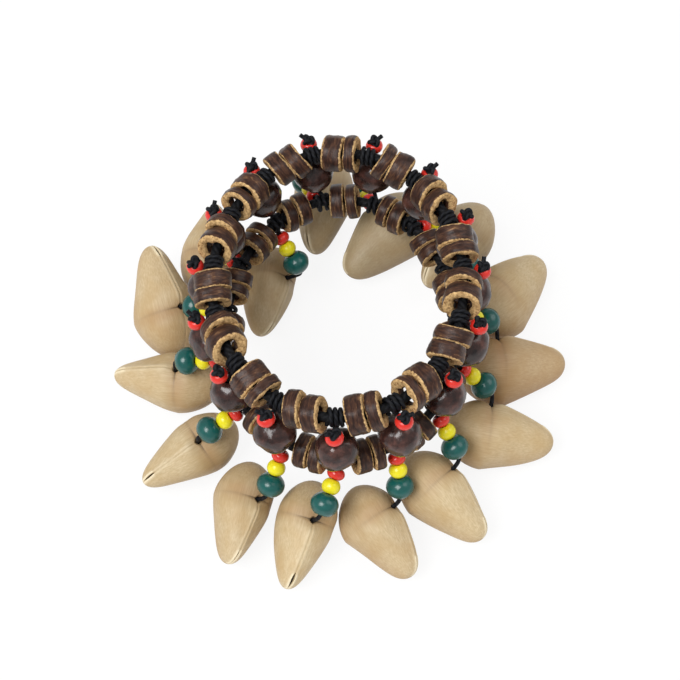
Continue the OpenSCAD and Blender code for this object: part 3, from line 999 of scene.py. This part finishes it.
for strand, row in zip(strands, STRANDS):
    inward = -(shell_turn(row) @ UP)
    side = (strand.way - strand.low_along * strand.way.dot(strand.low_along)).normalized()
    other = strand.low_along.cross(side)
    ring = [strand.low + TURN_RADIUS * (c * side + s * other) for c, s in SWING_TURN]
    bend = strand.green + strand.way * BEND_REACH
    onward = (strand.hole - bend).normalized()
    path = [strand.low + TURN_RADIUS * side, strand.red, strand.yellow, strand.green,
            bend - strand.way * BEND_CUT, bend + onward * BEND_CUT, strand.hole,
            strand.hole + inward * CORD_INSIDE]
    knot_at = strand.hole + inward * KNOT_INSIDE
    piece = tube_piece("swing_cord_" + strand.tag, [
        (ring, CORD_RADIUS, True),
        (smooth_path(path), CORD_RADIUS, False),
        (knot(knot_at, inward, inward.orthogonal().normalized()), CORD_RADIUS, True),
    ], CORD)
    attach(piece, "drop_" + strand.tag)
    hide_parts("drop_cord_" + strand.tag)
print("swinging cords:", len(strands))

# %% [markdown]
# ## Nutshells
#
# A shell is a rounded rhombus seen from its flank, and almond shaped seen from its seam. It could
# be sculpted, but a rule for its form makes fifteen shells of one kind that all differ, and puts
# the hole, the seam and the slit where they belong. It is built as rings along its length, with
# nearly straight flanks from the hole to the blunt tip. The seam runs from the hole to the tip as
# a fine double ridge that opens into a slit, and a furrow crosses the seam at the hole. The rings
# lie closer at the furrow and at the tip, and the points of a ring lie closer at the seam, where
# the detail is.

# %% The form of a nutshell
# sizes in millimetres, places along the shell as shares of its length, the keel's spread in degrees
SHELL_LENGTH, SHELL_DEPTH, SHELL_THICK = 30.0, 19.5, 17.0
SEAM_SHARE, HOLE_SHARE = 0.46, 0.38
FURROW, FLANK_FOLD, CREASE_REACH = 1.3, 0.45, 4.0
KEEL, KEEL_SPREAD = 0.6, 22.5
RIDGE, RIDGE_ASIDE = 0.10, 0.55
SEAM_SIDE = SHELL_DEPTH * SEAM_SHARE
BACK_SIDE = SHELL_DEPTH - SEAM_SIDE
# power of the blunt end, power of the taper, size left at the tip
DEEP_FORM, WIDE_FORM = (1.55, 1.15, 0.33), (1.85, 1.2, 0.27)
TIP_CAP = 14
SLIT_START, SLIT_END = 0.86, 0.99
SLIT_HALF, SLIT_DEEP, SLIT_WALL = 0.38, 1.6, 0.18
LIP, LIP_WIDTH = 0.15, 0.3
HOLE_RADIUS, HOLE_DEEP, HOLE_WALL = 1.0, 1.1, 0.5
BUMP, BUMP_INSIDE = 0.22, 0.12
THINNEST = 0.05

along_rows = np.concatenate([
    np.array([0.002, 0.008, 0.018, 0.035]), np.linspace(0.06, 0.33, 16),
    np.linspace(0.338, 0.422, 19), np.linspace(0.435, 0.79, 22), np.linspace(0.80, 0.97, 20),
    np.array([0.978, 0.985, 0.991, 0.996, 0.999]),
])
seam_steps = np.array([0, 1, 2, 3.2, 4.6, 6.5, 9, 12, 16, 21])
flank_steps = np.linspace(27, 180, 22)[:-1]
around = np.concatenate([seam_steps, flank_steps])
around = np.radians(np.concatenate([around, [180], -around[:0:-1]]) + 90)


def outline(at, form):
    """The half width at places along the shell, as a share of the greatest."""
    blunt = np.sqrt(np.clip(1 - (np.clip(HOLE_SHARE - at, 0, 1) / HOLE_SHARE) ** form[0], 0, 1))
    tipward = np.clip(at - HOLE_SHARE, 0, 1) / (1 - HOLE_SHARE)
    tip = (1 - (1 - form[2]) * tipward ** form[1]) * np.sqrt(np.clip(1 - tipward ** TIP_CAP, 0, 1))
    return np.where(at < HOLE_SHARE, blunt, tip)


def bell(value, width):
    """A smooth bump of height one, about this wide to each side of zero."""
    return np.exp(-(value / width) ** 2)


print("shell mesh:", len(along_rows), "rings of", len(around))

# %% The plain form and what is cut or folded into it


class ShellGrid:
    """Every point of a shell's rings: its place along, its angle and the plain form there."""

    def __init__(self, size):
        self.size = size
        self.at, self.angle = np.meshgrid(along_rows, around, indexing="ij")
        self.sine, self.cosine = np.sin(self.angle), np.cos(self.angle)
        self.deep, self.wide = outline(self.at, DEEP_FORM), outline(self.at, WIDE_FORM)
        self.half_deep = np.where(self.sine > 0, SEAM_SIDE, BACK_SIDE) * size * self.deep
        self.half_wide = SHELL_THICK / 2 * size * self.wide
        self.x = (self.at - HOLE_SHARE) * SHELL_LENGTH * size
        self.y = self.half_wide * self.cosine
        self.on_seam = self.sine > 0
        self.tipward = np.clip((self.at - HOLE_SHARE - 0.02) / 0.08, 0, 1)
        self.fold = np.clip(0.35 + 0.65 * self.sine, 0, 1)
        self.near = self.on_seam * bell(self.y, CREASE_REACH)


def keel(shell):
    """The seam: a soft keel with a fine double ridge, and a groove between."""
    turn = shell.angle - math.pi / 2
    off = np.degrees(np.abs(np.arctan2(np.sin(turn), np.cos(turn))))
    rise = KEEL * shell.deep * np.clip(1 - off / KEEL_SPREAD, 0, 1) * shell.tipward
    ridges = bell(np.abs(shell.y) - RIDGE_ASIDE, 0.3) - bell(shell.y, 0.22)
    groove = bell(shell.y, 0.3) * (1 - shell.tipward)
    return rise + shell.on_seam * RIDGE * (ridges * shell.tipward - groove)


def furrow(shell):
    """The fold across the seam at the hole: a soft valley with a short sharp crease in it."""
    valley = shell.fold * bell(shell.x, 2.4)
    return FURROW * (0.72 * valley + 0.28 * shell.near * bell(shell.x, 0.4))


def slit(shell, gape):
    """Where the shell gapes at its tip, and where the lips of the gap are."""
    share = np.clip((shell.at - SLIT_START) / (SLIT_END - SLIT_START), 0, 1)
    half = SLIT_HALF * gape * shell.size * np.sin(math.pi * share ** 0.8) ** 0.7
    gap = np.clip((half - np.abs(shell.y)) / SLIT_WALL, 0, 1) * (share > 0) * (share < 1)
    lips = bell(np.abs(shell.y) - half - LIP_WIDTH, LIP_WIDTH) * np.clip(share * 6, 0, 1)
    return shell.on_seam * gap, shell.on_seam * lips


def bumps(shell, seed):
    """Slow unevenness, different for each shell, mostly just inside the plain form."""
    phase = seed * 1.7
    first = np.sin(shell.x * 0.35 + phase) * np.cos(shell.angle * 2 + phase)
    second = np.sin(shell.x * 0.22 - phase * 2) * np.cos(shell.angle * 3 - phase)
    return BUMP * (first + second) - BUMP_INSIDE


print("deepest fold of a plain shell:", round(float(furrow(ShellGrid(1.0)).max()), 2), "mm")

# %% Paint weights and points of a shell


def paint(shell, gap, lips, pit, gape):
    """How dark each point is painted as shade in creases, how pale at the lips, and how brown it is, with
    painted shade at the furrow.
    """
    # painted shade: dark in the gap of the slit, in the hole, along the fold across the seam and in the
    # seam's groove
    crease = np.maximum(gap * min(1, gape + 0.3), 0.7 * pit)
    crease = np.maximum(crease, 0.8 * bell(shell.x, 0.2) * shell.near)
    crease = np.maximum(crease, 0.14 * bell(shell.x, 0.45) * np.clip(shell.sine + 0.4, 0, 1))
    seam_groove_shade = shell.on_seam * bell(shell.y, 0.14) * shell.tipward * shell.deep
    crease = np.maximum(crease, 0.18 * seam_groove_shade)
    ridge_line = shell.on_seam * bell(np.abs(shell.y) - 0.5, 0.35) * shell.tipward
    pale = np.clip(0.75 * lips + 0.25 * ridge_line, 0, 1)
    # browner towards the blunt end and on the side away from the seam, plus painted shade in the furrow at
    # the hole
    browner_blunt_and_back = 0.3 * np.clip(0.5 - 1.1 * shell.at, 0, 1) + 0.25 * np.clip(-shell.sine, 0, 1)
    brown = browner_blunt_and_back + 0.4 * bell(shell.x + 0.8, 2.2) * shell.fold
    return crease, pale, brown


def nutshell(size, seed, gape):
    """Points (in millimetres, origin at the hole) and paint weights of a shell, ring by ring."""
    shell = ShellGrid(size)
    gap, lips = slit(shell, gape)
    pit = shell.on_seam * np.clip((HOLE_RADIUS - np.hypot(shell.x, shell.y)) / HOLE_WALL, 0, 1)
    uneven = bumps(shell, seed)
    rise = keel(shell) - furrow(shell) + LIP * lips - HOLE_DEEP * pit
    rise = rise - SLIT_DEEP * gape * gap * np.clip(shell.deep * 2, 0, 1)
    half_deep = np.maximum(shell.half_deep + rise + uneven * shell.deep, THINNEST)
    waist = FLANK_FOLD * bell(shell.x, 1.9) * np.clip(0.8 + shell.sine, 0, 1)
    half_wide = np.maximum(shell.half_wide + uneven * shell.wide - waist, THINNEST)
    z = half_deep * shell.sine - SEAM_SIDE * size + FURROW
    points = np.stack([shell.x, half_wide * shell.cosine, z], -1)
    return points, paint(shell, gap, lips, pit, gape)


print("points of a shell:", len(along_rows) * len(around))

# %% Make the fifteen shells
# how brown and how grey each shell has aged
TONES = [
    (0.0, 0.0), (0.08, 0.05), (0.0, 0.0), (0.04, 0.0), (0.35, 0.0),
    (0.05, 0.0), (0.0, 0.25), (0.0, 0.45), (0.05, 0.35), (0.1, 0.2),
    (0.05, 0.1), (0.1, 0.0), (0.05, 0.0), (0.0, 0.05), (0.05, 0.05),
]
# how far apart the grain of two shells is read, in millimetres
GRAIN_APART = 40
# how far each shell gapes at the tip
GAPES = [1.0, 0.4, 0.5, 0.3, 0.3, 0.3, 0.5, 0.3, 0.6, 0.5, 0.3, 0.7, 0.3, 0.7, 0.4]


def shell_piece(name, strand, row, seed, tone, gape):
    size = row[3]
    points, (crease, pale, brown) = nutshell(size, seed, gape)
    rows, sides = crease.shape
    flat = points.reshape(-1, 3)
    axis = FURROW - SEAM_SIDE * size
    ends = np.array([[-HOLE_SHARE * SHELL_LENGTH * size, 0, axis],
                     [(1 - HOLE_SHARE) * SHELL_LENGTH * size, 0, axis]])
    flat = np.vstack([flat, ends])
    faces = []
    for i in range(rows - 1):
        for j in range(sides):
            k = (j + 1) % sides
            faces.append((i * sides + j, (i + 1) * sides + j, (i + 1) * sides + k, i * sides + k))
    blunt, tip, last = rows * sides, rows * sides + 1, (rows - 1) * sides
    for j in range(sides):
        k = (j + 1) % sides
        faces += [(blunt, k, j), (tip, last + j, last + k)]
    grey = np.full_like(brown, tone[1])
    browned_and_shaded = np.clip(brown + tone[0], 0, 1)
    # the crease weight is painted shade, and the brown weight carries painted shade at the furrow
    weights = {"crease": crease, "pale": pale, "brown": browned_and_shaded, "grey": grey}
    turn = np.array(shell_turn(row))
    placed = flat @ turn.T * MM + np.array(strand.hole)
    attributes = [("grain", "FLOAT_VECTOR", flat + GRAIN_APART * seed)]
    attributes += [(label, "FLOAT", np.append(values.ravel(), [0, 0])) for label, values in weights.items()]
    piece = mesh_piece(name, placed, faces, attributes=attributes)
    piece.data.materials.append(NUTSHELL)
    return piece


for k, (strand, row, tone, gape) in enumerate(zip(strands, STRANDS, TONES, GAPES)):
    piece = shell_piece("nutshell_" + strand.tag, strand, row, k + 1, tone, gape)
    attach(piece, "shell_" + strand.tag)
    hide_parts("shell_" + strand.tag)
print("nutshells:", COUNT, "faces each:", len(piece.data.polygons))

# %% [markdown]
# ## Floor and light
#
# The bracelet lies on a plain white sheet in even studio light. The world lights it from all
# sides, so the shadows stay soft. One large lamp over the left shoulder models the forms and
# gives the beads their highlights, and a weaker one fills from the right. The light is plain
# enough that colours come out about as they are written.
#
# More light would turn the sheet white, but it would also wash out the shells. So the sheet is
# lifted towards white only where the camera sees it, straight or in a reflection. The light that
# it throws on the bracelet stays natural, and a faint shadow remains.

# %% Floor
FLOOR_HALF = 3.0
PAPER_LIFT = 0.88
floor_data = bpy.data.meshes.new("floor")
floor_data.from_pydata([(-FLOOR_HALF, -FLOOR_HALF, 0), (FLOOR_HALF, -FLOOR_HALF, 0),
                        (FLOOR_HALF, FLOOR_HALF, 0), (-FLOOR_HALF, FLOOR_HALF, 0)], [], [(0, 1, 2, 3)])
floor = bpy.data.objects.new("floor", floor_data)
bpy.context.scene.collection.objects.link(floor)
paper, paper_tree, paper_shader = new_material("white paper sheet")
connect(paper_tree, paper_shader, {
    "Base Color": linear("#FAFAFA"), "Roughness": 0.9, "Specular IOR Level": 0.1,
})
rays = add(paper_tree, "ShaderNodeLightPath")
looked_at = add(paper_tree, "ShaderNodeMath", {
    0: rays.outputs["Is Camera Ray"], 1: rays.outputs["Is Glossy Ray"],
}, operation="ADD")
seen = add(paper_tree, "ShaderNodeMath", {
    0: looked_at.outputs[0], 1: rays.outputs["Is Transmission Ray"],
}, operation="ADD", use_clamp=True)
lifted = add(paper_tree, "ShaderNodeMath", {0: seen.outputs[0], 1: PAPER_LIFT}, operation="MULTIPLY")
glow = add(paper_tree, "ShaderNodeEmission", {"Color": (1, 1, 1, 1), "Strength": 1.0})
sheet = add(paper_tree, "ShaderNodeMixShader", {
    0: lifted.outputs[0], 1: paper_shader.outputs[0], 2: glow.outputs[0],
})
paper_tree.links.new(sheet.outputs[0], paper_tree.nodes["Material Output"].inputs["Surface"])
floor_data.materials.append(paper)

# %% World and lamps
world = bpy.data.worlds.new("studio")
world.use_nodes = True
connect(world.node_tree, world.node_tree.nodes["Background"], {"Color": (1, 1, 1, 1), "Strength": 0.52})
bpy.context.scene.world = world


def lamp(name, place, size, power):
    data = bpy.data.lights.new(name, "AREA")
    data.size = size
    data.energy = power
    light = bpy.data.objects.new(name, data)
    light.location = place
    light.rotation_euler = (TARGET - Vector(place)).to_track_quat("-Z", "Y").to_euler()
    bpy.context.scene.collection.objects.link(light)


LAMPS = (
    # name, place in metres, width in metres, power in watts
    ("key", (-0.35, -0.30, 0.75), 0.45, 6.0),
    ("fill", (0.45, 0.10, 0.60), 0.50, 1.4),
)
for row in LAMPS:
    lamp(*row)

bpy.context.scene.view_settings.view_transform = "Standard"
print("lamps:", len(LAMPS))
